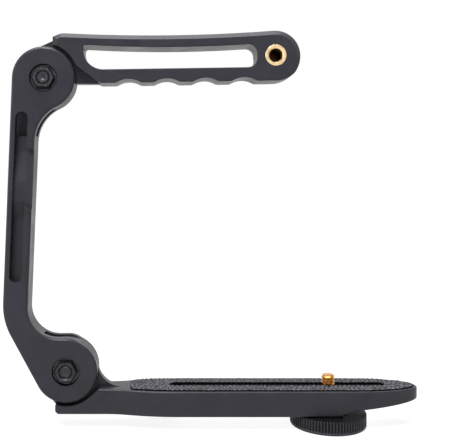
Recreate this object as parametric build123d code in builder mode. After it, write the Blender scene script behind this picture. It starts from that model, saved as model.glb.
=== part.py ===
from build123d import *
import os
from math import acos, atan2, cos, degrees, hypot, radians, sin, sqrt, tan

# A folding C-shaped handle for a camera. The origin is where the camera screw's axis
# meets the top of the rubber pad. X runs along the platform, Y to the back, Z up.
# Side views are drawn as (X, Z) and plan views as (X, Y). All sizes are in millimetres.

# Sizes that the three mouldings share
body_thickness = 14.6
ear_thickness = 4.5
tongue_thickness = 4.4
ear_radius = 14.9
shoulder_gap = 1.55
overrun = 5.0

# Where the two hinges are
lower_hinge_reach = 125.0
lower_hinge_height = 7.7
hinge_rise = 138.4
hinge_setback = 10.6

# Hinge hardware, M6
bolt_radius = 3.0
bolt_clearance = 0.05
nut_clearance = 0.02
recess_radius = 6.6
recess_depth = 2.4
washer_radius = 6.1
washer_thickness = 0.8
nut_flats = 10.0
nut_height = 2.8
nut_corner_reach = 0.65
bolt_tip_sink = 0.2
bolt_tip_chamfer = 0.4
spring_washer_radius = 5.2
spring_washer_thickness = 1.2
bolt_head_radius = 5.25
bolt_head_height = 3.0
bolt_head_round = 1.8
socket_flats = 4.0
socket_depth = 1.8
disc_radius = 12.5
disc_clearance = 0.05

# Arm
arm_lean = 2.25
arm_width = 11.8
arm_neck_radius = 18.8
arm_foot_angle = 28.6
arm_outer_bend_radius = 30.0
arm_inner_bend_radius = 14.0
arm_heel_height = 15.6
arm_heel_reach = 3.0
arm_heel_radius = 9.0
arm_edge_radius = 1.45
upper_slot_depth = 27.3
lower_slot_radius = 20.4

# Channel in the arm's front, placed by its distance below the upper hinge
channel_margin = 2.6
channel_width = 5.9
channel_top = 16.3
channel_bottom = 97.0
channel_deep = 5.0
channel_shallow = 2.0
channel_upper_ramp = 35.0
channel_upper_floor = 49.0
channel_lower_floor = 58.0
channel_lower_ramp = 66.0
channel_back_depth = 3.0
window_top = 33.0
window_top_fall = 2.4
window_bottom = 60.2
window_bottom_fall = 4.6

# Grip, placed from the upper hinge
grip_corner_reach = 4.2
grip_corner_height = 19.7
grip_crown_reach = 8.4
grip_crown_height = 21.4
grip_crown_radius = 6.0
grip_waist_reach = 50.0
grip_waist_height = 20.3
grip_nose_reach = 109.55
grip_nose_height = 10.65
grip_nose_radius = 11.9
grip_nose_blend = 4.3
grip_under_slope = 0.85
grip_under_reach = 27.3
grip_root_reach = 25.9
grip_root_rise = 0.35
grip_shoulder_start = 75.2
grip_shoulder_end = 21.0
grip_flare_radius = 8.0
grip_ramp_height = 18.4
grip_web_drop = 2.3
grip_edge_chamfer = 2.3
grip_under_edge_radius = 0.7
grip_edge_fade = 1.7
grip_lip_growth = 0.5

# Finger grooves under the grip
groove_count = 4
groove_start = 40.2
groove_pitch = 18.25
groove_chord = 11.7
groove_depth = 1.75
groove_lip_radius = 3.0

# Long slot through the grip
grip_wall = 5.85
grip_low_wall = 6.45
grip_slot_start = 18.8
grip_slot_margin = 8.35
grip_slot_tip_radius = 1.4
grip_slot_heel_radius = 9.4
grip_slot_low_radius = 4.6
grip_slot_high_radius = 3.8
grip_slot_edge_radius = 0.5

# Threaded insert at the grip's end
thread_radius = 3.175
insert_radius = 5.0
insert_length = 10.0
insert_thread_length = 8.5
insert_clearance = 0.02
insert_proud = 0.15
insert_mouth_chamfer = 0.35

# Platform
deck_half_width = 11.6
deck_drop = 0.5
deck_depth = 11.8
neck_end_margin = 4.9
neck_end_chamfer = 1.5
neck_flat = 19.0
flare_length = 34.0
flare_share = 0.3
tip_reach = 42.5
tip_taper_length = 30.5
tip_thickness = 5.6
belly_setback = 38.5
belly_rise = 2.7
belly_ramp = 6.0
belly_radius = 8.0
shoulder_flare_angle = 50.0
platform_ramp_drop = 1.2
platform_web_radius = 11.5
platform_edge_radius = 0.8
web_thickness = 3.0
side_wall = 2.5
cavity_start = 84.0
cavity_tip_margin = 8.0
cavity_corner_radius = 3.0

# Slot along the platform
slot_start = 75.6
slot_tip_margin = 15.7
slot_width = 5.0
keyhole_clearance = 0.25

# Rubber pad
pad_thickness = 1.1
pad_rim = 1.3
pad_start = 94.7
pad_corner_radius = 3.5
pad_clearance = 0.1
pad_slot_widening = 0.2

# Camera screw, knob and washer
screw_height = 4.8
screw_lift = 0.3
screw_neck_radius = 2.3
screw_tip_chamfer = 0.6
screw_head_radius = 4.0
screw_head_length = 5.0
knob_radius = 17.9
knob_height = 6.4
knob_gap = 0.3
knob_top_round = 0.5
knob_bottom_round = 0.9
knob_plain_band = 1.5
rib_count = 78
rib_groove_radius = 0.5
knob_dish_radius = 13.0
knob_dish_depth = 1.0
collar_radius = 7.5
knob_washer_radius = 8.0
knob_washer_thickness = 1.0
sliding_clearance = 0.05
neck_clearance = 0.05

# Places worked out from the sizes above
half_body = body_thickness / 2
fork_gap = body_thickness - 2 * ear_thickness
disc_thickness = (fork_gap - tongue_thickness) / 2 - 2 * disc_clearance
bolt_hole_radius = bolt_radius + bolt_clearance
shoulder_radius = ear_radius + shoulder_gap
lower_hinge = (-lower_hinge_reach, lower_hinge_height)
upper_hinge = (lower_hinge[0] - hinge_setback, lower_hinge[1] + hinge_rise)
deck_top = -deck_drop
deck_bottom = deck_top - deck_depth
web_bottom = deck_top - web_thickness
pad_bottom = -pad_thickness
neck_end = lower_hinge[0] - neck_end_margin
belly_end = tip_reach - belly_setback
cavity_end = tip_reach - cavity_tip_margin
slot_end = tip_reach - slot_tip_margin

os.makedirs("parts", exist_ok=True)


# Side view geometry
def polar(center, radius, angle):
    """The point of a circle at an angle in degrees, counted from +X."""
    return (center[0] + radius * cos(radians(angle)), center[1] + radius * sin(radians(angle)))


def shifted(point, reach, rise):
    """A point moved along the two axes of its view."""
    return (point[0] + reach, point[1] + rise)


def tangent_point(center, radius, outside, side):
    """Where the line from an outside point touches a circle, on its side +1 or -1."""
    reach, rise = outside[0] - center[0], outside[1] - center[1]
    turn = degrees(acos(radius / hypot(reach, rise)))
    return polar(center, radius, degrees(atan2(rise, reach)) + side * turn)


def crossing(first, first_angle, second, second_angle):
    """Where two lines meet, each given by a point and an angle in degrees."""
    ux, uy = cos(radians(first_angle)), sin(radians(first_angle))
    vx, vy = cos(radians(second_angle)), sin(radians(second_angle))
    gap_x, gap_y = second[0] - first[0], second[1] - first[1]
    along = (gap_x * vy - gap_y * vx) / (ux * vy - uy * vx)
    return (first[0] + along * ux, first[1] + along * uy)


def corner_at(sketch, point):
    """The sketch's corner that is nearest to a point."""
    return sketch.vertices().sort_by_distance((*point, 0))[0]


def edge_near(part, point, depth):
    """The part's edge that is nearest to a point of its side view, at a depth along Y."""
    return part.edges().sort_by_distance((point[0], depth, point[1]))[0]


def face_edges(part, side):
    """The outline of the part's front face with side 0, or of its back face with side -1."""
    return part.faces().filter_by(Axis.Y).sort_by(Axis.Y)[side].outer_wire().edges()


# Arm
arm_down = 270 - arm_lean
arm_start = polar(upper_hinge, ear_radius, 180 - arm_lean)


def arm_point(below, across):
    """A point below the upper hinge along the arm, and across it from its outer edge."""
    return polar(polar(arm_start, below, arm_down), across, -arm_lean)


arm_foot = polar(lower_hinge, ear_radius, 180 + arm_foot_angle)
arm_outer_bend = crossing(arm_start, arm_down, arm_foot, 90 + arm_foot_angle)
arm_heel_tip = shifted(lower_hinge, arm_heel_reach, arm_heel_height)
arm_heel_touch = tangent_point(lower_hinge, ear_radius, arm_heel_tip, -1)
arm_inner_bend = crossing(arm_point(0, arm_width), arm_down, arm_heel_tip, 0)
arm_neck_below = sqrt(ear_radius**2 - (ear_radius - arm_width) ** 2)
channel_length = channel_bottom - channel_top
channel_middle = channel_margin + channel_width / 2
channel_inner = channel_margin + channel_width
channel_centre = arm_point(channel_top + channel_length / 2, channel_middle)

with BuildPart() as channel_cutter:
    with BuildSketch(Plane.XZ):
        with Locations(channel_centre):
            SlotOverall(channel_length, channel_width, rotation=90 - arm_lean)
    extrude(amount=half_body + overrun, both=True)
    with BuildSketch(Plane.YZ):
        with BuildLine():
            above = -half_body - overrun
            deep = -half_body + channel_deep
            shallow = -half_body + channel_shallow
            Polyline(
                (above, upper_hinge[1]),
                (deep, upper_hinge[1]),
                (deep, upper_hinge[1] - channel_upper_ramp),
                (shallow, upper_hinge[1] - channel_upper_floor),
                (shallow, upper_hinge[1] - channel_lower_floor),
                (deep, upper_hinge[1] - channel_lower_ramp),
                (deep, upper_hinge[1] - channel_bottom - overrun),
                (above, upper_hinge[1] - channel_bottom - overrun),
                close=True,
            )
        make_face()
    extrude(amount=-2 * upper_hinge[0], both=True, mode=Mode.INTERSECT)

with BuildPart() as arm:
    with BuildSketch(Plane.XZ) as arm_outline:
        with Locations(upper_hinge, lower_hinge):
            Circle(ear_radius)
        with BuildLine():
            Polyline(
                arm_start,
                arm_outer_bend,
                arm_foot,
                lower_hinge,
                arm_heel_touch,
                arm_heel_tip,
                arm_inner_bend,
                arm_point(0, arm_width),
                close=True,
            )
        make_face()
        fillet(corner_at(arm_outline, arm_point(arm_neck_below, arm_width)), arm_neck_radius)
        fillet(corner_at(arm_outline, arm_outer_bend), arm_outer_bend_radius)
        fillet(corner_at(arm_outline, arm_inner_bend), arm_inner_bend_radius)
        fillet(corner_at(arm_outline, arm_heel_tip), arm_heel_radius)
    extrude(amount=half_body, both=True)
    fillet(face_edges(arm, 0) + face_edges(arm, -1), arm_edge_radius)
    # The forks that take the tongues of the grip and the platform
    with BuildSketch(Plane.XZ):
        with Locations(shifted(upper_hinge, 0, -upper_slot_depth)):
            Rectangle(4 * ear_radius, 2 * upper_slot_depth, align=(Align.CENTER, Align.MIN))
        with Locations(lower_hinge):
            Circle(lower_slot_radius)
    extrude(amount=fork_gap / 2, both=True, mode=Mode.SUBTRACT)
    # Bolt holes, and the recesses for the nuts and the heads
    with BuildSketch(Plane.XZ):
        with Locations(upper_hinge, lower_hinge):
            Circle(bolt_hole_radius)
    extrude(amount=half_body + overrun, both=True, mode=Mode.SUBTRACT)
    with BuildSketch(Plane.XZ.offset(half_body - recess_depth), Plane.XZ.offset(-half_body - overrun)):
        with Locations(upper_hinge, lower_hinge):
            Circle(recess_radius)
    extrude(amount=recess_depth + overrun, mode=Mode.SUBTRACT)
    # The channel in the front, and the window that opens it to the inner side
    add(channel_cutter.part, mode=Mode.SUBTRACT)
    with BuildSketch(Plane.XZ.offset(half_body - channel_shallow)):
        with BuildLine():
            Polyline(
                arm_point(window_top, channel_middle),
                arm_point(window_top, channel_inner),
                arm_point(window_top + window_top_fall, arm_width + overrun),
                arm_point(window_bottom + window_bottom_fall, arm_width + overrun),
                arm_point(window_bottom, channel_inner),
                arm_point(window_bottom, channel_middle),
                close=True,
            )
        make_face()
    extrude(amount=channel_shallow + overrun, mode=Mode.SUBTRACT)
    # The plain channel at the back
    with BuildSketch(Plane.XZ.offset(-half_body - overrun)):
        with Locations(channel_centre):
            SlotOverall(channel_length, channel_width, rotation=90 - arm_lean)
    extrude(amount=channel_back_depth + overrun, mode=Mode.SUBTRACT)

arm.part.label = "arm"
export_step(arm.part, "parts/arm.step")

# Grip
grip_crown = shifted(upper_hinge, grip_crown_reach, grip_crown_height)
grip_corner = shifted(upper_hinge, grip_corner_reach, grip_corner_height)
grip_waist = shifted(upper_hinge, grip_waist_reach, grip_waist_height)
grip_nose = shifted(upper_hinge, grip_nose_reach, grip_nose_height)
grip_nose_top = polar(grip_nose, grip_nose_radius, 90 + grip_nose_blend)
grip_nose_bottom = polar(grip_nose, grip_nose_radius, grip_under_slope - 90)
grip_root = shifted(upper_hinge, grip_root_reach, -grip_web_drop + grip_root_rise)


def under_grip(reach, wall=0):
    """A point on the grip's underside, at a distance from the upper hinge, or a wall above it."""
    rise = (upper_hinge[0] + reach - grip_nose_bottom[0]) * tan(radians(grip_under_slope))
    return (upper_hinge[0] + reach, grip_nose_bottom[1] + rise + wall)


grip_under_start = under_grip(grip_under_reach)
groove_radius = (groove_chord**2 / 4 + groove_depth**2) / (2 * groove_depth)
groove_reaches = [groove_start + groove_pitch * step for step in range(groove_count)]
groove_lips = [reach + side * groove_chord / 2 for reach in groove_reaches for side in (-1, 1)]
slot_start_reach = grip_slot_start
slot_end_reach = grip_nose_reach - grip_slot_margin
slot_top_start = shifted(upper_hinge, slot_start_reach, grip_crown_height - grip_wall)
slot_top_middle = shifted(grip_waist, 0, -grip_wall)
grip_shoulder_tip = polar(upper_hinge, shoulder_radius, grip_shoulder_end)
grip_ramp_tip = shifted(upper_hinge, grip_corner_reach, grip_ramp_height)
slot_end_fall = grip_slot_margin * tan(radians(grip_nose_blend))
slot_top_end = shifted(grip_nose_top, -grip_slot_margin, -grip_wall - slot_end_fall)

# The upper part of the grip has broadly chamfered edges. Below the round end's middle its
# outline swings out past the underside, so that the chamfer fades out towards the fingers.
skin_nose = shifted(grip_nose, -grip_edge_fade, 0)
skin_under_start = shifted(grip_under_start, 0, -grip_edge_fade)
under_nose_radius = grip_nose_radius + grip_lip_growth
under_nose = shifted(grip_nose_bottom, 0, under_nose_radius)
under_nose_end = polar(under_nose, under_nose_radius, grip_under_slope)

with BuildPart() as grip_skin:
    with BuildSketch(Plane.XZ) as skin_outline:
        with BuildLine():
            ThreePointArc(grip_crown, grip_waist, grip_nose_top)
            CenterArc(grip_nose, grip_nose_radius, 90 + grip_nose_blend, -90 - grip_nose_blend)
            CenterArc(skin_nose, grip_nose_radius + grip_edge_fade, 0, -90)
            Polyline(
                shifted(skin_nose, 0, -grip_nose_radius - grip_edge_fade),
                skin_under_start,
                (grip_corner[0], skin_under_start[1]),
                grip_corner,
                grip_crown,
            )
        make_face()
        fillet(corner_at(skin_outline, grip_crown), grip_crown_radius)
    extrude(amount=half_body, both=True)
    chamfer(face_edges(grip_skin, 0) + face_edges(grip_skin, -1), grip_edge_chamfer)

with BuildPart() as grip:
    with BuildSketch(Plane.XZ) as grip_outline:
        with BuildLine():
            CenterArc(under_nose, under_nose_radius, grip_under_slope - 90, 90)
            Polyline(
                polar(under_nose, under_nose_radius, grip_under_slope - 90),
                under_grip(grip_under_reach),
                grip_root,
                grip_shoulder_tip,
            )
            shoulder_turn = grip_shoulder_start - grip_shoulder_end
            CenterArc(upper_hinge, shoulder_radius, grip_shoulder_end, shoulder_turn)
            Polyline(
                polar(upper_hinge, shoulder_radius, grip_shoulder_start),
                grip_corner,
                (grip_corner[0], grip_crown[1] + overrun),
                (under_nose_end[0], grip_crown[1] + overrun),
                under_nose_end,
            )
        make_face()
        fillet(corner_at(grip_outline, grip_shoulder_tip), grip_flare_radius)
        # Finger grooves with rounded lips
        with Locations([under_grip(reach, groove_depth - groove_radius) for reach in groove_reaches]):
            Circle(groove_radius, mode=Mode.SUBTRACT)
        for reach in groove_lips:
            fillet(corner_at(grip_outline, under_grip(reach)), groove_lip_radius)
    extrude(amount=half_body, both=True)
    first_flat = under_grip(groove_start - groove_pitch / 2)
    fillet([edge_near(grip, first_flat, depth) for depth in (-half_body, half_body)], grip_under_edge_radius)
    add(grip_skin.part, mode=Mode.INTERSECT)
    # The tongue: a disc about the bolt, a ramp above it and a web below it
    with BuildSketch(Plane.XZ):
        with Locations(upper_hinge):
            Circle(ear_radius)
        with BuildLine():
            Polyline(
                tangent_point(upper_hinge, ear_radius, grip_ramp_tip, 1),
                grip_ramp_tip,
                (grip_root[0], grip_ramp_tip[1]),
                (grip_under_start[0], grip_root[1]),
                shifted(upper_hinge, grip_under_reach, -grip_web_drop),
                shifted(upper_hinge, 0, -grip_web_drop),
                close=True,
            )
        make_face()
    extrude(amount=tongue_thickness / 2, both=True)
    # The long slot, a wall away from the top and the underside
    with BuildSketch(Plane.XZ) as grip_slot:
        with BuildLine():
            ThreePointArc(slot_top_start, slot_top_middle, slot_top_end)
            Polyline(
                slot_top_end,
                under_grip(slot_end_reach, grip_low_wall),
                under_grip(slot_start_reach, grip_low_wall),
                slot_top_start,
            )
        make_face()
        fillet(corner_at(grip_slot, slot_top_start), grip_slot_tip_radius)
        fillet(corner_at(grip_slot, under_grip(slot_start_reach, grip_low_wall)), grip_slot_heel_radius)
        fillet(corner_at(grip_slot, under_grip(slot_end_reach, grip_low_wall)), grip_slot_low_radius)
        fillet(corner_at(grip_slot, slot_top_end), grip_slot_high_radius)
    extrude(amount=half_body + overrun, both=True, mode=Mode.SUBTRACT)
    slot_rims = [edge_near(grip, slot_top_middle, depth) for depth in (-half_body, half_body)]
    fillet(slot_rims, grip_slot_edge_radius)
    # The bolt's hole
    with BuildSketch(Plane.XZ):
        with Locations(upper_hinge):
            Circle(bolt_hole_radius)
    extrude(amount=half_body, both=True, mode=Mode.SUBTRACT)
    # The pocket of the threaded insert
    with BuildSketch(Plane.XZ.offset(half_body - insert_length + insert_proud)):
        with Locations(grip_nose):
            Circle(insert_radius + insert_clearance)
    extrude(amount=insert_length, mode=Mode.SUBTRACT)

grip.part.label = "grip"
export_step(grip.part, "parts/grip.step")

with BuildPart() as grip_insert:
    with BuildSketch(Plane.XZ.offset(half_body + insert_proud)):
        with Locations(grip_nose):
            Circle(insert_radius)
    extrude(amount=-insert_length)
    with BuildSketch(Plane.XZ.offset(half_body + insert_proud)):
        with Locations(grip_nose):
            Circle(thread_radius)
    extrude(amount=-insert_thread_length, mode=Mode.SUBTRACT)
    mouth = grip_insert.faces().filter_by(Axis.Y).sort_by(Axis.Y)[0].inner_wires()[0]
    chamfer(mouth.edges(), insert_mouth_chamfer)

grip_insert.part.label = "grip_insert"
export_step(grip_insert.part, "parts/grip_insert.step")

# Hinge hardware, the same at both hinges, stacked along the bolt towards the front
nut_seat = half_body - recess_depth + washer_thickness
nut_face = nut_seat + nut_height
bolt_tip = nut_face - bolt_tip_sink
head_seat = half_body - recess_depth + spring_washer_thickness

for hinge_name, hinge in (("upper", upper_hinge), ("lower", lower_hinge)):
    hinge_plane = Plane(origin=(hinge[0], 0, hinge[1]), x_dir=(1, 0, 0), z_dir=(0, -1, 0))

    with BuildPart() as bolt:
        with BuildSketch(hinge_plane.offset(-head_seat)):
            Circle(bolt_radius)
        extrude(amount=head_seat + bolt_tip)
        chamfer(bolt.edges().sort_by(Axis.Y)[0], bolt_tip_chamfer)
        with BuildSketch(hinge_plane.offset(-head_seat)):
            Circle(bolt_head_radius)
        extrude(amount=-bolt_head_height)
        fillet(bolt.edges().sort_by(Axis.Y)[-1], bolt_head_round)
        with BuildSketch(hinge_plane.offset(-head_seat - bolt_head_height)):
            RegularPolygon(socket_flats / 2, 6, major_radius=False)
        extrude(amount=socket_depth, mode=Mode.SUBTRACT)
    bolt.part.label = f"{hinge_name}_bolt"
    export_step(bolt.part, f"parts/{hinge_name}_bolt.step")

    with BuildPart() as nut:
        with BuildSketch(hinge_plane.offset(nut_seat)):
            RegularPolygon(nut_flats / 2, 6, major_radius=False)
        extrude(amount=nut_height)
        # The chamfer that turns a hexagon's corners
        with BuildSketch(hinge_plane.offset(nut_seat)):
            Circle(nut_flats / 2 + nut_corner_reach)
        extrude(amount=nut_height, mode=Mode.INTERSECT)
        with BuildSketch(hinge_plane.offset(nut_seat)):
            Circle(bolt_radius + nut_clearance)
        extrude(amount=nut_height, mode=Mode.SUBTRACT)
    nut.part.label = f"{hinge_name}_nut"
    export_step(nut.part, f"parts/{hinge_name}_nut.step")

    rings = (
        ("washer", half_body - recess_depth, washer_thickness, washer_radius),
        ("spring_washer", -head_seat, spring_washer_thickness, spring_washer_radius),
        ("front_disc", tongue_thickness / 2 + disc_clearance, disc_thickness, disc_radius),
        ("back_disc", -tongue_thickness / 2 - disc_clearance - disc_thickness, disc_thickness, disc_radius),
    )
    for ring_name, ring_seat, ring_thickness, ring_radius in rings:
        with BuildPart() as ring:
            with BuildSketch(hinge_plane.offset(ring_seat)):
                Circle(ring_radius)
                Circle(bolt_hole_radius, mode=Mode.SUBTRACT)
            extrude(amount=ring_thickness)
        ring.part.label = f"{hinge_name}_{ring_name}"
        export_step(ring.part, f"parts/{hinge_name}_{ring_name}.step")

# Platform
shoulder_flare_start = polar(lower_hinge, shoulder_radius, -shoulder_flare_angle)
shoulder_flare_end = crossing(shoulder_flare_start, 90 - shoulder_flare_angle, (0, deck_top), 0)
shoulder_fall = sqrt(shoulder_radius**2 - neck_end_margin**2)
shoulder_start_angle = degrees(atan2(-shoulder_fall, -neck_end_margin))
tip_bottom = deck_top - tip_thickness
belly_start = belly_end + belly_ramp
keyhole_radius = thread_radius + keyhole_clearance
web_rise = deck_top + platform_web_radius - lower_hinge[1]
platform_web_reach = sqrt((ear_radius + platform_web_radius) ** 2 - web_rise**2)
platform_web_root = lower_hinge[0] + platform_web_reach + tongue_thickness
ear_fall = deck_top - lower_hinge[1]
platform_web_corner = shifted(lower_hinge, sqrt(ear_radius**2 - ear_fall**2), ear_fall)
platform_ramp_tip = (neck_end, lower_hinge[1] - shoulder_fall - platform_ramp_drop)


def plan_outline(inset):
    """The platform seen from above, drawn an inset inside its edge."""
    neck, deck = half_body - inset, deck_half_width - inset
    flare_start = neck_end + neck_flat + neck_end_margin
    flare_bend = (flare_start + flare_length * flare_share, neck + (deck - neck) * flare_share)
    taper_start = tip_reach - tip_taper_length
    with BuildSketch() as outline:
        with BuildLine():
            Polyline((neck_end, 0), (neck_end, neck), (flare_start, neck))
            outward = TangentArc((flare_start, neck), flare_bend, tangent=(1, 0))
            TangentArc(flare_bend, (flare_start + flare_length, deck), tangent=outward % 1)
            Line((flare_start + flare_length, deck), (taper_start, deck))
            EllipticalCenterArc((taper_start, 0), tip_taper_length - inset, deck, start_angle=0, arc_size=90)
            mirror(about=Plane.XZ)
        make_face()
    return outline.sketch


def pad_outline(inset):
    """The rubber pad seen from above, drawn an inset inside the platform's edge."""
    pad_end = pad_start + pad_rim - inset
    with BuildSketch() as outline:
        add(plan_outline(inset))
        with Locations(((tip_reach - pad_end) / 2, 0)):
            Rectangle(tip_reach + pad_end, 2 * deck_half_width, mode=Mode.INTERSECT)
        fillet(outline.vertices().group_by(Axis.X)[0], pad_corner_radius)
    return outline.sketch


def channel_outline():
    """The channel under the platform, seen from above."""
    with BuildSketch() as outline:
        add(plan_outline(side_wall))
        with Locations(((cavity_end - cavity_start) / 2, 0)):
            Rectangle(cavity_end + cavity_start, 2 * deck_half_width, mode=Mode.INTERSECT)
        for end in (0, -1):
            fillet(outline.vertices().group_by(Axis.X)[end], cavity_corner_radius)
    return outline.sketch


platform_plan = plan_outline(0)
channel_plan = channel_outline()
pocket_plan = pad_outline(pad_rim)
pad_plan = pad_outline(pad_rim + pad_clearance)

with BuildPart() as platform:
    with BuildSketch(Plane.XZ) as platform_side:
        with BuildLine():
            shoulder_sweep = -shoulder_flare_angle - shoulder_start_angle
            CenterArc(lower_hinge, shoulder_radius, shoulder_start_angle, shoulder_sweep)
            Polyline(
                shoulder_flare_start,
                shoulder_flare_end,
                (tip_reach, deck_top),
                (tip_reach, tip_bottom),
                (belly_start, deck_bottom + belly_rise),
                (belly_end, deck_bottom),
                (neck_end + neck_end_chamfer, deck_bottom),
                (neck_end, deck_bottom + neck_end_chamfer),
                polar(lower_hinge, shoulder_radius, shoulder_start_angle),
            )
        make_face()
        fillet(corner_at(platform_side, (belly_start, deck_bottom + belly_rise)), belly_radius)
        fillet(corner_at(platform_side, (belly_end, deck_bottom)), belly_radius)
    extrude(amount=deck_half_width, both=True)
    with BuildSketch(Plane.XY.offset(deck_bottom)):
        add(platform_plan)
    extrude(amount=deck_depth, mode=Mode.INTERSECT)
    fillet(edge_near(platform, (tip_reach, deck_top), 0), platform_edge_radius)
    fillet(edge_near(platform, (tip_reach, tip_bottom), 0), platform_edge_radius)
    # The tongue: a disc about the bolt, a ramp to the neck's end and a hollow curve to the deck
    with BuildSketch(Plane.XZ) as platform_tongue:
        with Locations(lower_hinge):
            Circle(ear_radius)
        with BuildLine():
            Polyline(
                tangent_point(lower_hinge, ear_radius, platform_ramp_tip, -1),
                platform_ramp_tip,
                (neck_end, deck_bottom + neck_end_chamfer),
                (platform_web_root, deck_bottom + neck_end_chamfer),
                (platform_web_root, deck_top),
                (lower_hinge[0], deck_top),
                close=True,
            )
        make_face()
        fillet(corner_at(platform_tongue, platform_web_corner), platform_web_radius)
    extrude(amount=tongue_thickness / 2, both=True)
    with BuildSketch(Plane.XZ):
        with Locations(lower_hinge):
            Circle(bolt_hole_radius)
    extrude(amount=half_body, both=True, mode=Mode.SUBTRACT)
    # The channel in which the knob's collar slides. The slotted plate closes it at the top.
    with BuildSketch(Plane.XY.offset(deck_bottom - overrun)):
        add(channel_plan)
    extrude(amount=deck_depth + overrun, mode=Mode.SUBTRACT)
    # The pocket that the pad sits in
    with BuildSketch(Plane.XY.offset(pad_bottom)):
        add(pocket_plan)
    extrude(amount=pad_thickness, mode=Mode.SUBTRACT)

platform.part.label = "platform"
export_step(platform.part, "parts/platform.step")

# The plate that fills the channel's top, with the screw's slot and the keyhole that lets its
# thread through
with BuildPart() as slot_plate:
    with BuildSketch(Plane.XY.offset(web_bottom)):
        add(channel_plan)
        with Locations(((slot_end - slot_start) / 2, 0)):
            SlotOverall(slot_end + slot_start, slot_width, mode=Mode.SUBTRACT)
        with Locations((keyhole_radius - slot_start, 0)):
            Circle(keyhole_radius, mode=Mode.SUBTRACT)
    extrude(amount=pad_bottom - web_bottom)

slot_plate.part.label = "slot_plate"
export_step(slot_plate.part, "parts/slot_plate.step")

with BuildPart() as platform_pad:
    with BuildSketch(Plane.XY.offset(pad_bottom)):
        add(pad_plan)
        with Locations(((slot_end - slot_start) / 2, 0)):
            SlotOverall(slot_end + slot_start, slot_width + pad_slot_widening, mode=Mode.SUBTRACT)
    extrude(amount=pad_thickness)

platform_pad.part.label = "platform_pad"
export_step(platform_pad.part, "parts/platform_pad.step")

# Camera screw, its knob and the washer between the knob's collar and the web
knob_top = deck_bottom - knob_gap
knob_bottom = knob_top - knob_height
washer_top = web_bottom - sliding_clearance
washer_bottom = washer_top - knob_washer_thickness
collar_top = washer_bottom - sliding_clearance
screw_bottom = collar_top - screw_head_length

with BuildPart() as camera_screw:
    with BuildSketch(Plane.XY.offset(screw_bottom)):
        Circle(screw_head_radius)
    extrude(amount=screw_head_length)
    with BuildSketch(Plane.XY.offset(collar_top)):
        Circle(screw_neck_radius)
    extrude(amount=screw_lift - collar_top)
    with BuildSketch(Plane.XY.offset(screw_lift)):
        Circle(thread_radius)
    extrude(amount=screw_height - screw_lift)
    chamfer(camera_screw.edges().sort_by(Axis.Z)[-1], screw_tip_chamfer)

camera_screw.part.label = "camera_screw"
export_step(camera_screw.part, "parts/camera_screw.step")

with BuildPart() as clamp_knob:
    with BuildSketch(Plane.XY.offset(knob_bottom)):
        Circle(knob_radius)
    extrude(amount=knob_height)
    fillet(clamp_knob.edges().sort_by(Axis.Z)[0], knob_bottom_round)
    fillet(clamp_knob.edges().sort_by(Axis.Z)[-1], knob_top_round)
    # Grip ribs, above a plain band
    with BuildSketch(Plane.XY.offset(knob_bottom + knob_plain_band)):
        with PolarLocations(knob_radius, rib_count):
            Circle(rib_groove_radius)
    extrude(amount=knob_height, mode=Mode.SUBTRACT)
    with BuildSketch(Plane.XY.offset(knob_bottom)):
        Circle(knob_dish_radius)
    extrude(amount=knob_dish_depth, mode=Mode.SUBTRACT)

clamp_knob.part.label = "clamp_knob"
export_step(clamp_knob.part, "parts/clamp_knob.step")

# The collar stands on the knob, holds the screw's head and slides in the platform's channel
with BuildPart() as knob_collar:
    with BuildSketch(Plane.XY.offset(knob_top)):
        Circle(collar_radius)
    extrude(amount=collar_top - knob_top)
    with BuildSketch(Plane.XY.offset(screw_bottom)):
        Circle(screw_head_radius + insert_clearance)
    extrude(amount=screw_head_length, mode=Mode.SUBTRACT)

knob_collar.part.label = "knob_collar"
export_step(knob_collar.part, "parts/knob_collar.step")

with BuildPart() as knob_washer:
    with BuildSketch(Plane.XY.offset(washer_bottom)):
        Circle(knob_washer_radius)
        Circle(screw_neck_radius + neck_clearance, mode=Mode.SUBTRACT)
    extrude(amount=knob_washer_thickness)

knob_washer.part.label = "knob_washer"
export_step(knob_washer.part, "parts/knob_washer.step")
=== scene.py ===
"""Looks of a folding camera stabilizer handle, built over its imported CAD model.

The handle is moulded in black glass-filled plastic. The arm, grip, platform, knob, washers and
discs stay the CAD solids, with materials of their own. The rubber deck pad, the threaded camera
screw, the threaded insert and the nuts and bolts are modelled here in more detail."""

from math import cos, hypot, pi, radians, sin, tan

import bmesh
import bpy
from bpy.props import FloatProperty, FloatVectorProperty, PointerProperty
from mathutils import Matrix, Vector, noise
from mathutils.bvhtree import BVHTree


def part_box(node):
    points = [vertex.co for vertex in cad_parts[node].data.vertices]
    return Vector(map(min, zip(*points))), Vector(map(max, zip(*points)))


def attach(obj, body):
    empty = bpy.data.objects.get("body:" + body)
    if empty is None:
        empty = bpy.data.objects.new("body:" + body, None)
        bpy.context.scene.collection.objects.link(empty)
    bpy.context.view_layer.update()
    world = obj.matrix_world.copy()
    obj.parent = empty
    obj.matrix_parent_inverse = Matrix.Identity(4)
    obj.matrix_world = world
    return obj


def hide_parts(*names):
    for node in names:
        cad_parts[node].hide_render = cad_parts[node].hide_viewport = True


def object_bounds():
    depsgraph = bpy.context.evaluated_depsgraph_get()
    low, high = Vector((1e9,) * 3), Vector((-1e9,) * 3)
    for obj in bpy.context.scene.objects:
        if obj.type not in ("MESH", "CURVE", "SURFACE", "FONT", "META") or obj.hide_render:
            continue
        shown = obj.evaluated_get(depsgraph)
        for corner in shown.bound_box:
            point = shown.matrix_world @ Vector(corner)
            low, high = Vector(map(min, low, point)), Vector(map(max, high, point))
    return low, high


bl_info = {
    "name": "Camera stabilizer handle",
    "version": (1, 0, 0),
    "blender": (4, 5, 0),
    "location": "View3D > Sidebar > Handle",
    "description": "Finishes and fine pieces of a folding camera stabilizer handle",
    "category": "Object",
}

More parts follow.
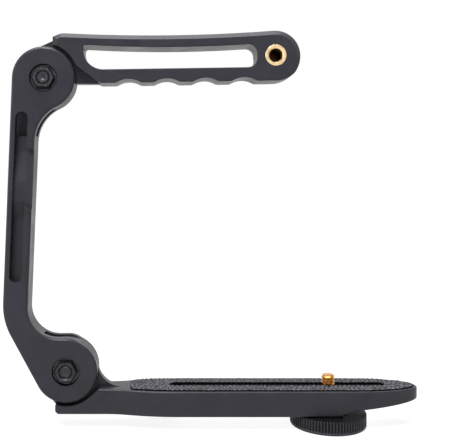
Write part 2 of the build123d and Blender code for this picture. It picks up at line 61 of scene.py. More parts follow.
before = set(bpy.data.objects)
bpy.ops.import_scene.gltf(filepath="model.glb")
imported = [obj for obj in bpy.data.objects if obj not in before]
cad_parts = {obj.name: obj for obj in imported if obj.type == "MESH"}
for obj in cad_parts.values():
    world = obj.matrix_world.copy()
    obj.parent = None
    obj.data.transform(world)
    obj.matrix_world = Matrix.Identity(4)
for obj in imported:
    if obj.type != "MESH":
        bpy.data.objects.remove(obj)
cad_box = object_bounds()

MM = 0.001
TURN = 2 * pi
WHITE = (1, 1, 1, 1)
SAME_POINT = 0.0005 * MM

# Turns a piece made about Z so that its top faces the front
TO_FRONT = Matrix.Rotation(radians(90), 4, "X")

PLASTIC_GLOSS = 0.17
RIBBED_GLOSS = 0.12
RUBBER_GLOSS = 0.1
KNOB_ROUGHNESS = 0.4

# How much of its colour a finish keeps where shade is painted: at the dark edge of the pad and of
# the nuts, and in the insert's thread
EDGE_SHADE = 0.06
THREAD_SHADE = 0.05

# In millimetres: the radius of a quarter-inch camera thread, and a gap too small to matter
CAMERA_THREAD = 3.175
NEAR = 0.01


# Finishes


class Nodes:
    """The node tree of a material or of the world."""

    def __init__(self, tree):
        self.tree = tree

    def node(self, kind, **values):
        made = self.tree.nodes.new(kind)
        for name, value in values.items():
            setattr(made, name, value)
        return made

    def link(self, source, target):
        self.tree.links.new(source, target)

    def math(self, operation, first, second):
        made = self.node("ShaderNodeMath", operation=operation)
        self.link(first, made.inputs[0])
        self.link(second, made.inputs[1])
        return made.outputs["Value"]

    def times(self, first, second):
        return self.math("MULTIPLY", first, second)

    def length(self, vector):
        made = self.node("ShaderNodeVectorMath", operation="LENGTH")
        self.link(vector, made.inputs[0])
        return made.outputs["Value"]

    def between(self, value, low, high, start=0.3, end=0.7):
        """A number from low to high, as the value goes from start to end."""
        made = self.node("ShaderNodeMapRange")
        limits = {"From Min": start, "From Max": end, "To Min": low, "To Max": high}
        for name, number in limits.items():
            made.inputs[name].default_value = number
        self.link(value, made.inputs["Value"])
        return made.outputs["Result"]

    def seen_background(self):
        """One for rays that see the background itself: from the camera, or by way of a gloss."""
        path = self.node("ShaderNodeLightPath")
        total = path.outputs["Is Camera Ray"]
        for name in ("Is Glossy Ray", "Is Transmission Ray"):
            total = self.math("MAXIMUM", total, path.outputs[name])
        return total

    def mixed(self, share, first, second, output):
        """Gives the output the first shader, and the second in its share."""
        mix = self.node("ShaderNodeMixShader")
        self.link(share, mix.inputs["Fac"])
        self.link(first, mix.inputs[1])
        self.link(second, mix.inputs[2])
        self.link(mix.outputs["Shader"], self.tree.nodes[output].inputs["Surface"])


class Recipe(Nodes):
    """A material's node tree, begun with its shader and its Object coordinates."""

    def __init__(self, name, colour, roughness, metallic=0.0, gloss=PLASTIC_GLOSS):
        if name in bpy.data.materials:
            raise RuntimeError(f"the frame already has a material {name}")
        self.material = bpy.data.materials.new(name)
        self.material.use_nodes = True
        super().__init__(self.material.node_tree)
        self.colour = colour
        self.coordinates = self.node("ShaderNodeTexCoord").outputs["Object"]
        self.shader = self.tree.nodes["Principled BSDF"]
        self.shader.inputs["Base Color"].default_value = (*colour, 1)
        self.shader.inputs["Roughness"].default_value = roughness
        self.shader.inputs["Metallic"].default_value = metallic
        if not metallic:
            self.shader.inputs["Specular IOR Level"].default_value = gloss

    def noise(self, size, detail=3.0, distortion=0.0):
        """Noise whose grains are about a size across."""
        made = self.node("ShaderNodeTexNoise")
        made.inputs["Scale"].default_value = 1 / size
        made.inputs["Detail"].default_value = detail
        made.inputs["Distortion"].default_value = distortion
        self.link(self.coordinates, made.inputs["Vector"])
        return made.outputs["Fac"]

    def stretched(self, size, along):
        """The same noise, drawn out along Y."""
        made = self.node("ShaderNodeMapping")
        made.inputs["Scale"].default_value = (1, 1 / along, 1)
        self.link(self.coordinates, made.inputs["Vector"])
        grain = self.noise(size)
        self.link(made.outputs["Vector"], grain.node.inputs["Vector"])
        return grain

    def attribute(self, name):
        return self.node("ShaderNodeAttribute", attribute_name=name).outputs["Fac"]

    def from_axis(self):
        """Distance from the Z axis."""
        flat = self.node("ShaderNodeVectorMath", operation="MULTIPLY")
        flat.inputs[1].default_value = (1, 1, 0)
        self.link(self.coordinates, flat.inputs[0])
        return self.length(flat.outputs["Vector"])

    def tint(self, value, dark, light):
        """The colour, from dark to light times itself, as the value goes from 0 to 1."""
        made = self.node("ShaderNodeMix", data_type="RGBA")
        first, second = (socket for socket in made.inputs if socket.type == "RGBA")
        first.default_value = (*(c * dark for c in self.colour), 1)
        second.default_value = (*(min(1, c * light) for c in self.colour), 1)
        self.link(value, made.inputs["Factor"])
        result = next(socket for socket in made.outputs if socket.type == "RGBA")
        self.link(result, self.shader.inputs["Base Color"])

    def rough(self, value, low, high):
        self.link(self.between(value, low, high), self.shader.inputs["Roughness"])

    def bump(self, height, distance, strength=1.0, under=None):
        """A bump of a real height in metres, over another bump."""
        made = self.node("ShaderNodeBump")
        made.inputs["Strength"].default_value = strength
        made.inputs["Distance"].default_value = distance
        self.link(height, made.inputs["Height"])
        if under is not None:
            self.link(under, made.inputs["Normal"])
        return made.outputs["Normal"]

    def normal(self, value):
        self.link(value, self.shader.inputs["Normal"])


def moulded_plastic(name, colour, roughness, crest=None):
    """Black glass-filled plastic: a fine moulded grain, faint flow marks and a satin gloss.

    Ribs that reach the crest, in millimetres from the Z axis, get a painted highlight, and their
    grooves painted shade."""
    recipe = Recipe(name, colour, roughness, gloss=PLASTIC_GLOSS if crest is None else RIBBED_GLOSS)
    grain = recipe.noise(0.45 * MM, detail=4)
    flow = recipe.noise(14 * MM, distortion=0.6)
    speckle = recipe.between(grain, low=0.55, high=1.3)
    shade = recipe.times(speckle, recipe.between(flow, low=0.65, high=1.2))
    if crest is None:
        recipe.tint(shade, dark=0.7, light=1.5)
    else:
        # Painted highlight on the knob's rib crests and painted shade in its grooves, rising with
        # distance from the axis
        groove, lit_radius = (crest - 0.4) * MM, (crest - 0.05) * MM
        rib_light = recipe.between(recipe.from_axis(), low=0, high=1, start=groove, end=lit_radius)
        recipe.tint(recipe.times(shade, rib_light), dark=0.4, light=3.2)
    recipe.rough(flow, low=roughness - 0.05, high=roughness + 0.07)
    waves = recipe.bump(recipe.noise(4 * MM, detail=2), 0.05 * MM, strength=0.35)
    recipe.normal(recipe.bump(grain, 0.02 * MM, strength=0.5, under=waves))
    return recipe.material


def pad_rubber(name, colour):
    """Matt rubber with a powdery surface, with a painted highlight on its studs and painted shade
    between them.
    """
    recipe = Recipe(name, colour, 0.75, gloss=RUBBER_GLOSS)
    powder = recipe.stretched(0.8 * MM, along=2.5)
    dusted = recipe.between(powder, low=0.1, high=1.5, start=0.4, end=0.62)
    # Painted light and shade: the stud shading lightens the studs and darkens the rubber between
    # them
    recipe.tint(recipe.times(dusted, recipe.attribute("relief")), dark=0.05, light=2.4)
    recipe.rough(powder, low=0.65, high=0.85)
    recipe.normal(recipe.bump(powder, 0.05 * MM, strength=0.6))
    return recipe.material


def edge_rubber(name, colour):
    """The pad's cut edge, painted dark as shade along the gap to the deck's rim, and without gloss.
    """
    recipe = Recipe(name, colour, 0.9, gloss=0.0)
    powder = recipe.noise(0.6 * MM)
    recipe.tint(recipe.between(powder, low=0, high=1), dark=0.5, light=1.5)
    recipe.rough(powder, low=0.8, high=0.95)
    return recipe.material


def dark_steel(name, colour, roughness):
    """Blackened steel with fine turning marks and a faint bloom."""
    recipe = Recipe(name, colour, roughness, metallic=0.75)
    bloom = recipe.noise(1.6 * MM, detail=4)
    recipe.tint(recipe.between(bloom, low=0, high=1), dark=0.7, light=1.6)
    recipe.rough(bloom, low=roughness - 0.08, high=roughness + 0.12)
    recipe.normal(recipe.bump(recipe.noise(0.25 * MM), 0.02 * MM, strength=0.5))
    return recipe.material


def brass(name, colour):
    """Turned brass, a little dulled in patches."""
    recipe = Recipe(name, colour, 0.26, metallic=1.0)
    dull = recipe.noise(1.3 * MM, detail=4)
    recipe.tint(recipe.between(dull, low=0, high=1), dark=0.78, light=1.1)
    recipe.rough(dull, low=0.18, high=0.36)
    recipe.normal(recipe.bump(recipe.noise(0.3 * MM), 0.015 * MM, strength=0.5))
    return recipe.material


def natural_nylon(name, colour):
    """Milky nylon with a soft, slightly waxy surface."""
    recipe = Recipe(name, colour, 0.5)
    cloud = recipe.noise(2.5 * MM)
    recipe.tint(recipe.between(cloud, low=0, high=1), dark=0.9, light=1.06)
    recipe.rough(cloud, low=0.42, high=0.58)
    recipe.normal(recipe.bump(recipe.noise(0.5 * MM), 0.02 * MM, strength=0.4))
    recipe.shader.inputs["Subsurface Weight"].default_value = 0.1
    recipe.shader.inputs["Subsurface Scale"].default_value = 0.5 * MM
    return recipe.material


def shaded(colour, share):
    return [c * share for c in colour]


def made_finish(name):
    """A finish that the finishes operator made."""
    if name not in bpy.data.materials:
        raise RuntimeError(f"the finish {name} isn't made yet")
    return bpy.data.materials[name]


# Shapes


def revolve(bm, outline, steps=72):
    """Turns an outline of (radius, height) points, in millimetres, about the Z axis."""
    line = [bm.verts.new((r * MM, 0, z * MM)) for r, z in outline]
    edges = [bm.edges.new(pair) for pair in zip(line, line[1:])]
    bmesh.ops.spin(
        bm,
        geom=line + edges,
        cent=(0, 0, 0),
        axis=(0, 0, 1),
        angle=TURN,
        steps=steps,
        use_merge=True,
    )
    bmesh.ops.remove_doubles(bm, verts=bm.verts, dist=SAME_POINT)


def thread(bm, crest, root, pitch, bottom, top, steps=36):
    """A screw thread about the Z axis, cut off flat at its ends. Sizes are in millimetres."""
    groove = ((root, 0), (root, 0.08), (crest, 0.44), (crest, 0.56), (root, 0.92), (root, 1))
    lead_in, spare_turns = 1.5, 4
    start = bottom - lead_in * pitch
    turns = int((top - bottom) / pitch) + spare_turns
    line = [bm.verts.new((r * MM, 0, (start + share * pitch) * MM)) for r, share in groove]
    edges = [bm.edges.new(pair) for pair in zip(line, line[1:])]
    bmesh.ops.spin(
        bm,
        geom=line + edges,
        cent=(0, 0, 0),
        axis=(0, 0, 1),
        dvec=(0, 0, pitch * MM / steps),
        angle=TURN * turns,
        steps=steps * turns,
        use_merge=False,
    )
    bmesh.ops.remove_doubles(bm, verts=bm.verts, dist=SAME_POINT)
    for height, side in ((bottom, -1), (top, 1)):
        bmesh.ops.bisect_plane(
            bm,
            geom=bm.verts[:] + bm.edges[:] + bm.faces[:],
            dist=0.0001 * MM,
            plane_co=(0, 0, height * MM),
            plane_no=(0, 0, side),
            clear_outer=True,
        )


def rim(bm, height):
    """The open edges at a height in millimetres."""
    level, near = height * MM, 0.002 * MM
    return [
        edge
        for edge in bm.edges
        if len(edge.link_faces) == 1 and all(abs(v.co.z - level) < near for v in edge.verts)
    ]


def join(bm, other):
    """Puts a second bmesh into the first."""
    held = bpy.data.meshes.new("held")
    other.to_mesh(held)
    other.free()
    bm.from_mesh(held)
    bpy.data.meshes.remove(held)


def to_flat(x, y):
    """How far a point is from the middle of a hexagon, measured square to the side it is at."""
    return max(cos(radians(a)) * x + sin(radians(a)) * y for a in range(30, 390, 60))


def laid_over(node):
    """Where a piece made about Z, its top at the origin, lies over a CAD node that faces the
    front, and the node's depth in millimetres."""
    low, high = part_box(node)
    middle = (low + high) / 2
    place = Matrix.Translation((middle.x, low.y, middle.z)) @ TO_FRONT
    return place, (high.y - low.y) / MM


def add_piece(bm, name, body, finishes, node, place=None, sharp=35):
    """Makes a bmesh the mesh of a piece that stands for a CAD node, its place in its vertices."""
    if place is not None:
        bmesh.ops.transform(bm, matrix=place, verts=bm.verts)
    bmesh.ops.recalc_face_normals(bm, faces=bm.faces)
    mesh = bpy.data.meshes.new(name)
    bm.to_mesh(mesh)
    bm.free()
    mesh.shade_smooth()
    mesh.set_sharp_from_angle(angle=radians(sharp))
    for finish in finishes:
        mesh.materials.append(made_finish(finish))
    piece = bpy.data.objects.new(name, mesh)
    bpy.context.scene.collection.objects.link(piece)
    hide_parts(node)
    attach(piece, body)


# Settings


def colour_setting(name, description, default):
    return FloatVectorProperty(
        name=name, description=description, default=default, subtype="COLOR", min=0, max=1
    )


def size_setting(name, description, millimetres):
    return FloatProperty(
        name=name,
        description=description,
        default=millimetres * MM,
        min=0,
        precision=5,
        unit="LENGTH",
    )


def power_setting(name, description, watts):
    return FloatProperty(name=name, description=description, default=watts, min=0, unit="POWER")


class HandleFinishes(bpy.types.PropertyGroup):
    """Colours of the handle's materials, and the roughness of its body."""

    body_colour: colour_setting(
        "Body plastic", "Colour of the arm, grip and platform", (0.0165, 0.0157, 0.0203)
    )
    body_roughness: FloatProperty(
        name="Body roughness",
        description="Roughness of the body plastic",
        default=0.33,
        min=0,
        max=1,
        subtype="FACTOR",
    )
    knob_colour: colour_setting("Knob plastic", "Colour of the clamp knob", (0.011, 0.0107, 0.0132))
    rubber_colour: colour_setting("Pad rubber", "Colour of the deck pad", (0.056, 0.054, 0.062))
    steel_colour: colour_setting(
        "Dark steel", "Colour of bolts, nuts and washers", (0.0295, 0.0282, 0.034)
    )
    screw_colour: colour_setting("Screw brass", "Colour of the camera screw", (0.56, 0.27, 0.075))
    insert_colour: colour_setting(
        "Insert brass", "Colour of the threaded insert", (0.95, 0.72, 0.42)
    )
    nylon_colour: colour_setting("Nylon", "Colour of the sliding washer", (0.72, 0.7, 0.64))


class HandleFasteners(bpy.types.PropertyGroup):
    """Sizes of the bolts, nuts and threads."""

    nut_across: size_setting("Nut width", "Width across the nut's flats", 10.0)
    nut_bevel: size_setting("Nut bevel", "Width of the nut's bevelled edge", 0.6)
    thread_pitch: size_setting("Thread pitch", "Pitch of the camera screw and the insert", 1.27)
    thread_depth: size_setting("Thread depth", "Depth of the camera thread", 0.7)
    socket_across: size_setting("Socket width", "Width across the flats of a bolt's socket", 4.0)


class HandlePad(bpy.types.PropertyGroup):
    """Sizes of the deck pad's moulded studs."""

    stud_length: size_setting("Stud spacing", "Distance between two studs along the pad", 2.1)
    stud_rows: size_setting("Row spacing", "Distance between two rows of studs", 3.0)
    stud_height: size_setting("Stud height", "Height of the studs", 0.29)
    sink: size_setting("Sink", "How far the pad lies under the deck's rim between its studs", 0.04)
    edge_width: size_setting("Edge width", "Width of the pad's dark edge", 0.26)
    mesh_size: size_setting("Mesh size", "Spacing of the pad's mesh", 0.3)


class HandleStudio(bpy.types.PropertyGroup):
    """Camera and lights."""

    camera_place: FloatVectorProperty(
        name="Camera place",
        description="Where the camera stands",
        default=(-0.0825, -0.3413, 0.0985),
        subtype="TRANSLATION",
        unit="LENGTH",
    )
    camera_lens: FloatProperty(
        name="Lens", description="Focal length of the camera", default=56.6, unit="CAMERA"
    )
    camera_shift: FloatVectorProperty(
        name="Shift", description="Shift of the lens across and up", size=2, default=(0.155, -0.091)
    )
    surround: FloatProperty(
        name="Surround", description="Strength of the light all round", default=0.05, min=0
    )
    top_power: power_setting("Top light", "Power of the lamp overhead", 11.0)
    key_power: power_setting("Key light", "Power of the lamp in front", 17.0)
    side_power: power_setting("Side light", "Power of the lamps at the left and the back", 2.5)


# Pieces

# Each steel's name, its share of the steel's colour, and its roughness
STEELS = (
    ("dark_steel", 1, 0.43),
    ("disc_steel", 0.5, 0.45),
    # The edge steel is painted shade for the nuts' bevelled edges
    ("edge_steel", EDGE_SHADE, 0.6),
    # The washers' steel is painted light, lightened against the shade of the recesses they sit in
    ("washer_steel", 1.9, 0.42),
)

# Every CAD node gets its finish, also one that a piece replaces
NODES_OF_FINISH = {
    "body_plastic": ("arm", "grip", "platform", "slot_plate"),
    "knob_plastic": ("clamp_knob",),
    "studded_rubber": ("platform_pad",),
    "dark_steel": (
        "knob_collar", "upper_bolt", "upper_nut", "upper_spring_washer",
        "lower_bolt", "lower_nut", "lower_spring_washer",
    ),
    # The washers get the painted light steel
    "washer_steel": ("upper_washer", "lower_washer"),
    "disc_steel": ("upper_front_disc", "upper_back_disc", "lower_front_disc", "lower_back_disc"),
    "screw_brass": ("camera_screw",),
    "insert_brass": ("grip_insert",),
    "milky_nylon": ("knob_washer",),
}


class HANDLE_OT_finishes(bpy.types.Operator):
    """Make the materials and give them to the CAD nodes"""

    bl_idname = "handle.finishes"
    bl_label = "Finishes"

    def execute(self, context):
        look = context.scene.handle_finishes
        knob_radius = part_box("clamp_knob")[1].x / MM
        moulded_plastic("body_plastic", look.body_colour, look.body_roughness)
        moulded_plastic("knob_plastic", look.knob_colour, KNOB_ROUGHNESS, crest=knob_radius)
        pad_rubber("studded_rubber", look.rubber_colour)
        # Painted shade for the pad's edge
        edge_rubber("edge_rubber", shaded(look.rubber_colour, EDGE_SHADE))
        for name, share, roughness in STEELS:
            dark_steel(name, shaded(look.steel_colour, share), roughness)
        brass("screw_brass", look.screw_colour)
        brass("insert_brass", look.insert_colour)
        # Painted shade for the inside of the insert's thread
        brass("dark_brass", shaded(look.screw_colour, THREAD_SHADE))
        natural_nylon("milky_nylon", look.nylon_colour)
        for name, nodes in NODES_OF_FINISH.items():
            for node in nodes:
                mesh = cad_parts[node].data
                mesh.materials.clear()
                mesh.materials.append(made_finish(name))
        return {"FINISHED"}


class HANDLE_OT_pad(bpy.types.Operator):
    """Make the rubber pad of the deck, with its moulded studs"""

    bl_idname = "handle.pad"
    bl_label = "Deck pad"

    def execute(self, context):
        sizes = context.scene.handle_pad
        bm = bmesh.new()
        bm.from_mesh(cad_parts["platform_pad"].data)
        bmesh.ops.remove_doubles(bm, verts=bm.verts, dist=SAME_POINT)
        slab = bpy.data.meshes.new("deck_pad")
        bm.to_mesh(slab)
        level = [face for face in bm.faces if abs(face.normal.z) > 0.5]
        bmesh.ops.delete(bm, geom=level, context="FACES")
        walls = BVHTree.FromBMesh(bm)
        bm.free()
        pad = bpy.data.objects.new("deck_pad", slab)
        context.scene.collection.objects.link(pad)
        remesh = pad.modifiers.new("even", "REMESH")
        remesh.mode = "VOXEL"
        remesh.voxel_size = sizes.mesh_size
        solid = pad.evaluated_get(context.evaluated_depsgraph_get())
        mesh = bpy.data.meshes.new_from_object(solid)
        pad.modifiers.clear()
        pad.data = mesh
        mesh.shade_smooth()
        mesh.materials.clear()
        for finish in ("studded_rubber", "edge_rubber"):
            mesh.materials.append(made_finish(finish))
        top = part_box("platform_pad")[1].z
        self.edge(mesh, sizes, top, walls)
        self.studs(mesh, sizes, top)
        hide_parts("platform_pad")
        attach(pad, "platform_body")
        return {"FINISHED"}

    def edge(self, mesh, sizes, top, walls):
        """Gives the pad's edge painted shade, in a band as wavy as the studs."""
        waviness = 0.35
        for face in mesh.polygons:
            x, y, _ = face.center
            from_wall = walls.find_nearest((x, y, top))[3]
            width = sizes.edge_width * (1 + waviness * cos(TURN * x / sizes.stud_length))
            # Faces in the band get painted shade, the dark finish of the pad's edge
            face.material_index = int(from_wall < width)

    def studs(self, mesh, sizes, top):
        """Raises the pad's top in rows of round studs, and gives each point painted light: lighter
        on the studs, with painted shade between them.
        """
        length, row = sizes.stud_length, sizes.stud_rows
        top_layer, lump, lumpiness = 0.45 * MM, 1.1 * MM, 0.15
        ground, stud_light, lump_light = 0.32, 0.9, 0.45
        relief = mesh.attributes.new("relief", "FLOAT", "POINT")
        for vertex, height in zip(mesh.vertices, relief.data):
            x, y, z = vertex.co
            count = round(y / row)
            along = cos(TURN * (x / length + 0.5 * (count % 2)))
            across = cos(TURN * (y / row - count))
            stud = (0.5 + 0.5 * along) * (0.5 + 0.5 * across)
            wander = noise.noise(vertex.co / lump)
            if z > top - top_layer:
                vertex.co.z += sizes.stud_height * (stud + lumpiness * wander) - sizes.sink
            # Painted light on the studs and painted shade between them, from the stud pattern and
            # its lumps
            height.value = min(1, max(0, ground + stud_light * stud + lump_light * wander))


class HANDLE_OT_screw(bpy.types.Operator):
    """Make the threaded camera screw"""

    bl_idname = "handle.screw"
    bl_label = "Camera screw"

    def execute(self, context):
        sizes = context.scene.handle_fasteners
        low, top = (corner.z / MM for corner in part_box("camera_screw"))
        bottom = 0.3
        neck, head, head_height = 2.3, 4.0, 5.0
        point, taper = 0.75, 1.1
        bm = bmesh.new()
        root = CAMERA_THREAD - sizes.thread_depth / MM
        thread(bm, CAMERA_THREAD, root, sizes.thread_pitch / MM, bottom, top)
        for height in (bottom, top):
            bmesh.ops.holes_fill(bm, edges=rim(bm, height), sides=0)
        for vertex in bm.verts:
            reach = hypot(vertex.co.x, vertex.co.y)
            over_shoulder = max(0, vertex.co.z / MM - (top - point))
            limit = (CAMERA_THREAD - over_shoulder * taper) * MM
            if reach > limit:
                vertex.co.x *= limit / reach
                vertex.co.y *= limit / reach
        shank = bmesh.new()
        outline = (
            (0, bottom + NEAR),
            (neck, bottom + NEAR),
            (neck, low + head_height),
            (head, low + head_height),
            (head, low),
            (0, low),
        )
        revolve(shank, outline, steps=48)
        join(bm, shank)
        add_piece(
            bm, "threaded_camera_screw", "knob_body", ["screw_brass"], "camera_screw"
        )
        return {"FINISHED"}


class HANDLE_OT_insert(bpy.types.Operator):
    """Make the threaded insert at the grip's end"""

    bl_idname = "handle.insert"
    bl_label = "Threaded insert"

    def execute(self, context):
        sizes = context.scene.handle_fasteners
        place, length = laid_over("grip_insert")
        outer, depth, mouth, thread_share = 5.0, 8.5, -0.45, 0.8
        crest = CAMERA_THREAD - sizes.thread_depth / MM * thread_share
        bm = bmesh.new()
        thread(bm, crest, CAMERA_THREAD, sizes.thread_pitch / MM, -depth, mouth)
        bmesh.ops.holes_fill(bm, edges=rim(bm, -depth), sides=0)
        shell = bmesh.new()
        grooved_ring = ((3.6, 0), (4.15, 0), (4.25, -0.12), (4.35, 0), (4.8, 0), (outer, -0.2))
        revolve(shell, ((CAMERA_THREAD, mouth), *grooved_ring, (outer, -length), (0, -length)))
        join(bm, shell)
        bmesh.ops.bridge_loops(bm, edges=rim(bm, mouth))
        # Faces inside the bore get painted shade: the brass darkened where the deep hole lies in
        # shade
        for face in bm.faces:
            x, y, z = face.calc_center_median() / MM
            if hypot(x, y) < CAMERA_THREAD and z < mouth + NEAR:
                face.material_index = 1
        finishes = ["insert_brass", "dark_brass"]
        add_piece(bm, "threaded_insert", "grip_body", finishes, "grip_insert", place)
        return {"FINISHED"}


class HANDLE_OT_fasteners(bpy.types.Operator):
    """Make the nuts and bolts of both hinges"""

    bl_idname = "handle.fasteners"
    bl_label = "Nuts and bolts"

    def execute(self, context):
        sizes = context.scene.handle_fasteners
        for hinge in ("upper", "lower"):
            self.nut(sizes, hinge)
            self.bolt(sizes, hinge)
        return {"FINISHED"}

    def nut(self, sizes, hinge):
        """A hexagon nut with painted shade on its bevelled edge, turned corners and a countersunk
        thread.
        """
        place, height = laid_over(f"{hinge}_nut")
        half, bevel = sizes.nut_across / MM / 2, sizes.nut_bevel / MM
        bore, mouth, slope = 3.06, 3.6, tan(radians(30))
        washer_face, above_base = half * 1.02, -height + 0.1
        outline = (
            (bore, -height),
            (bore, -0.55),
            (mouth - 0.1, -0.12),
            (mouth, 0),
            (half - bevel, 0),
            (half - bevel * 0.3, -bevel * 0.25),
            (half, -bevel),
            (half, -height),
            (bore, -height),
        )
        bm = bmesh.new()
        revolve(bm, outline, steps=96)
        for vertex in bm.verts:
            x, y, z = vertex.co / MM
            reach = hypot(x, y)
            if reach > mouth + NEAR:
                share = (reach - mouth) / (half - mouth)
                spread = mouth + share * (half * reach / to_flat(x, y) - mouth)
                vertex.co.x, vertex.co.y = (spread / reach * side * MM for side in (x, y))
                if z > above_base:
                    vertex.co.z = min(z, -(spread - washer_face) * slope) * MM
        # Faces on the bevelled edge get painted shade, standing in for the dark reflection and the
        # gap around the nut
        for face in bm.faces:
            x, y, _ = face.calc_center_median() / MM
            if to_flat(x, y) > half - bevel + 2 * NEAR:
                face.material_index = 1
        finishes = ["dark_steel", "edge_steel"]
        name = f"{hinge}_hex_nut"
        add_piece(bm, name, "arm_body", finishes, f"{hinge}_nut", place, sharp=30)

    def bolt(self, sizes, hinge):
        """A button head bolt: a dimpled, chamfered tip in front and a hexagon socket behind."""
        place, length = laid_over(f"{hinge}_bolt")
        bottom, shank, socket_depth = -length, 2.94, 1.9
        head, land, head_height, dome_height = 5.25, 2.75, 3.0, 2.4
        tip = [(0, -0.55), (0.5, -0.42), (1.25, -0.1), (1.5, 0), (2.45, 0), (shank, -0.5)]
        under_head = bottom + head_height
        dome = [
            (head - (head - land) * (1 - cos(angle)), bottom + dome_height * (1 - sin(angle)))
            for angle in map(radians, range(0, 91, 15))
        ]
        bm = bmesh.new()
        revolve(bm, tip + [(shank, under_head), (head, under_head)] + dome)
        corner = sizes.socket_across / 2 / cos(radians(30))
        level = Matrix.Translation((0, 0, bottom * MM))
        hexagon = bmesh.ops.create_circle(bm, segments=6, radius=corner, matrix=level)
        corners = set(hexagon["verts"])
        sides = [edge for edge in bm.edges if corners.issuperset(edge.verts)]
        bmesh.ops.bridge_loops(bm, edges=rim(bm, bottom))
        walls = bmesh.ops.extrude_edge_only(bm, edges=sides)["geom"]
        inner = [part for part in walls if isinstance(part, bmesh.types.BMVert)]
        bmesh.ops.translate(bm, verts=inner, vec=(0, 0, socket_depth * MM))
        inner = set(inner)
        floor = [edge for edge in bm.edges if inner.issuperset(edge.verts)]
        bmesh.ops.contextual_create(bm, geom=floor)
        name = f"{hinge}_button_bolt"
        node = f"{hinge}_bolt"
        add_piece(bm, name, "arm_body", ["dark_steel"], node, place, sharp=30)


# Studio, in metres

FLOOR_HALF_WIDTH = 4
FLOOR_GAP = 0.02 * MM
PAPER_COLOUR = (0.86, 0.86, 0.86, 1)
PAPER_GLOW = 1.12
HANDLE_MIDDLE = Vector((-0.06, 0, 0.07))

# Each lamp's name, place and size, and the setting that holds its power
LAMPS = (
    ("top_light", (-0.15, 0.05, 1.1), (0.8, 0.8), "top_power"),
    ("key_light", (-0.3, -0.55, 1.0), (0.4, 0.4), "key_power"),
    ("left_light", (-1.1, -0.35, 0.35), (0.6, 0.8), "side_power"),
    ("back_light", (0.3, 0.9, 0.8), (0.6, 0.6), "side_power"),
)


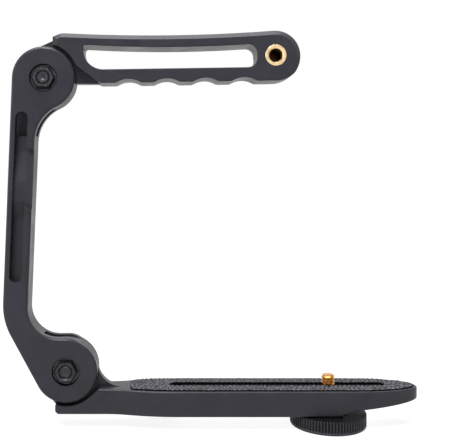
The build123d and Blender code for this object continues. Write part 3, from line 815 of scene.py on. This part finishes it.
class HANDLE_OT_stage(bpy.types.Operator):
    """Make the pale floor, the soft lights and the camera"""

    bl_idname = "handle.stage"
    bl_label = "Stage"

    def execute(self, context):
        studio = context.scene.handle_studio
        self.floor(context)
        self.surround(context, studio.surround)
        for name, place, size, setting in LAMPS:
            self.lamp(context, name, place, size, getattr(studio, setting))
        self.camera(context, studio)
        context.scene.view_settings.view_transform = "Standard"
        return {"FINISHED"}

    def camera(self, context, studio):
        """A level camera that looks along Y."""
        lens = bpy.data.cameras.new("photo_camera")
        lens.lens = studio.camera_lens
        lens.shift_x, lens.shift_y = studio.camera_shift
        lens.clip_start = 0.01
        camera = bpy.data.objects.new("photo_camera", lens)
        camera.location = studio.camera_place
        camera.rotation_euler = (radians(90), 0, 0)
        context.scene.collection.objects.link(camera)
        context.scene.camera = camera

    def floor(self, context):
        """A wide sheet of paper just under the handle."""
        level = Matrix.Translation((0, 0, cad_box[0][2] - FLOOR_GAP))
        bm = bmesh.new()
        bmesh.ops.create_grid(
            bm, x_segments=2, y_segments=2, size=FLOOR_HALF_WIDTH, matrix=level
        )
        mesh = bpy.data.meshes.new("floor")
        bm.to_mesh(mesh)
        bm.free()
        mesh.materials.append(self.paper())
        floor = bpy.data.objects.new("floor", mesh)
        context.scene.collection.objects.link(floor)

    def paper(self):
        """White paper that glows for the camera, a little less near the handle, where its
        shadow falls."""
        paper = bpy.data.materials.new("floor_paper")
        paper.use_nodes = True
        nodes = Nodes(paper.node_tree)
        shader = nodes.tree.nodes["Principled BSDF"]
        shader.inputs["Base Color"].default_value = PAPER_COLOUR
        shader.inputs["Roughness"].default_value = 0.9
        glow = nodes.node("ShaderNodeEmission")
        glow.inputs["Strength"].default_value = PAPER_GLOW
        distance = nodes.length(nodes.node("ShaderNodeTexCoord").outputs["Object"])
        fade = nodes.between(distance, low=0.8, high=1, start=0.3, end=0.7)
        share = nodes.times(nodes.seen_background(), fade)
        nodes.mixed(share, shader.outputs["BSDF"], glow.outputs["Emission"], "Material Output")
        return paper

    def surround(self, context, strength):
        """Weak light all round, and a white background for what looks at it."""
        world = bpy.data.worlds.new("studio")
        context.scene.world = world
        world.use_nodes = True
        nodes = Nodes(world.node_tree)
        light = nodes.tree.nodes["Background"]
        shown = nodes.node("ShaderNodeBackground")
        for background, power in ((light, strength), (shown, 1.0)):
            background.inputs["Color"].default_value = WHITE
            background.inputs["Strength"].default_value = power
        shaders = (light.outputs["Background"], shown.outputs["Background"])
        nodes.mixed(nodes.seen_background(), *shaders, "World Output")

    def lamp(self, context, name, place, size, power):
        """A soft rectangular lamp that looks at the middle of the handle."""
        lamp = bpy.data.lights.new(name, "AREA")
        lamp.shape = "RECTANGLE"
        lamp.size, lamp.size_y = size
        lamp.energy = power
        holder = bpy.data.objects.new(name, lamp)
        holder.location = place
        towards = HANDLE_MIDDLE - Vector(place)
        holder.rotation_euler = towards.to_track_quat("-Z", "Y").to_euler()
        context.scene.collection.objects.link(holder)


STEPS = (
    HANDLE_OT_finishes,
    HANDLE_OT_pad,
    HANDLE_OT_screw,
    HANDLE_OT_insert,
    HANDLE_OT_fasteners,
    HANDLE_OT_stage,
)
GROUPS = {
    "handle_finishes": HandleFinishes,
    "handle_fasteners": HandleFasteners,
    "handle_pad": HandlePad,
    "handle_studio": HandleStudio,
}


class HANDLE_PT_panel(bpy.types.Panel):
    """The handle's sizes, colours and steps"""

    bl_idname = "HANDLE_PT_panel"
    bl_label = "Stabilizer handle"
    bl_space_type = "VIEW_3D"
    bl_region_type = "UI"
    bl_category = "Handle"

    def draw(self, context):
        for group in GROUPS:
            box = self.layout.box()
            settings = getattr(context.scene, group)
            for name in settings.__annotations__:
                box.prop(settings, name)
        for step in STEPS:
            self.layout.operator(step.bl_idname)


def register():
    for kind in (*GROUPS.values(), *STEPS, HANDLE_PT_panel):
        bpy.utils.register_class(kind)
    for name, kind in GROUPS.items():
        setattr(bpy.types.Scene, name, PointerProperty(type=kind))


def unregister():
    for name in GROUPS:
        delattr(bpy.types.Scene, name)
    for kind in reversed((*GROUPS.values(), *STEPS, HANDLE_PT_panel)):
        bpy.utils.unregister_class(kind)


def main():
    register()
    bpy.ops.handle.finishes()
    bpy.ops.handle.pad()
    bpy.ops.handle.screw()
    bpy.ops.handle.insert()
    bpy.ops.handle.fasteners()
    bpy.ops.handle.stage()


if __name__ == "__main__":
    main()
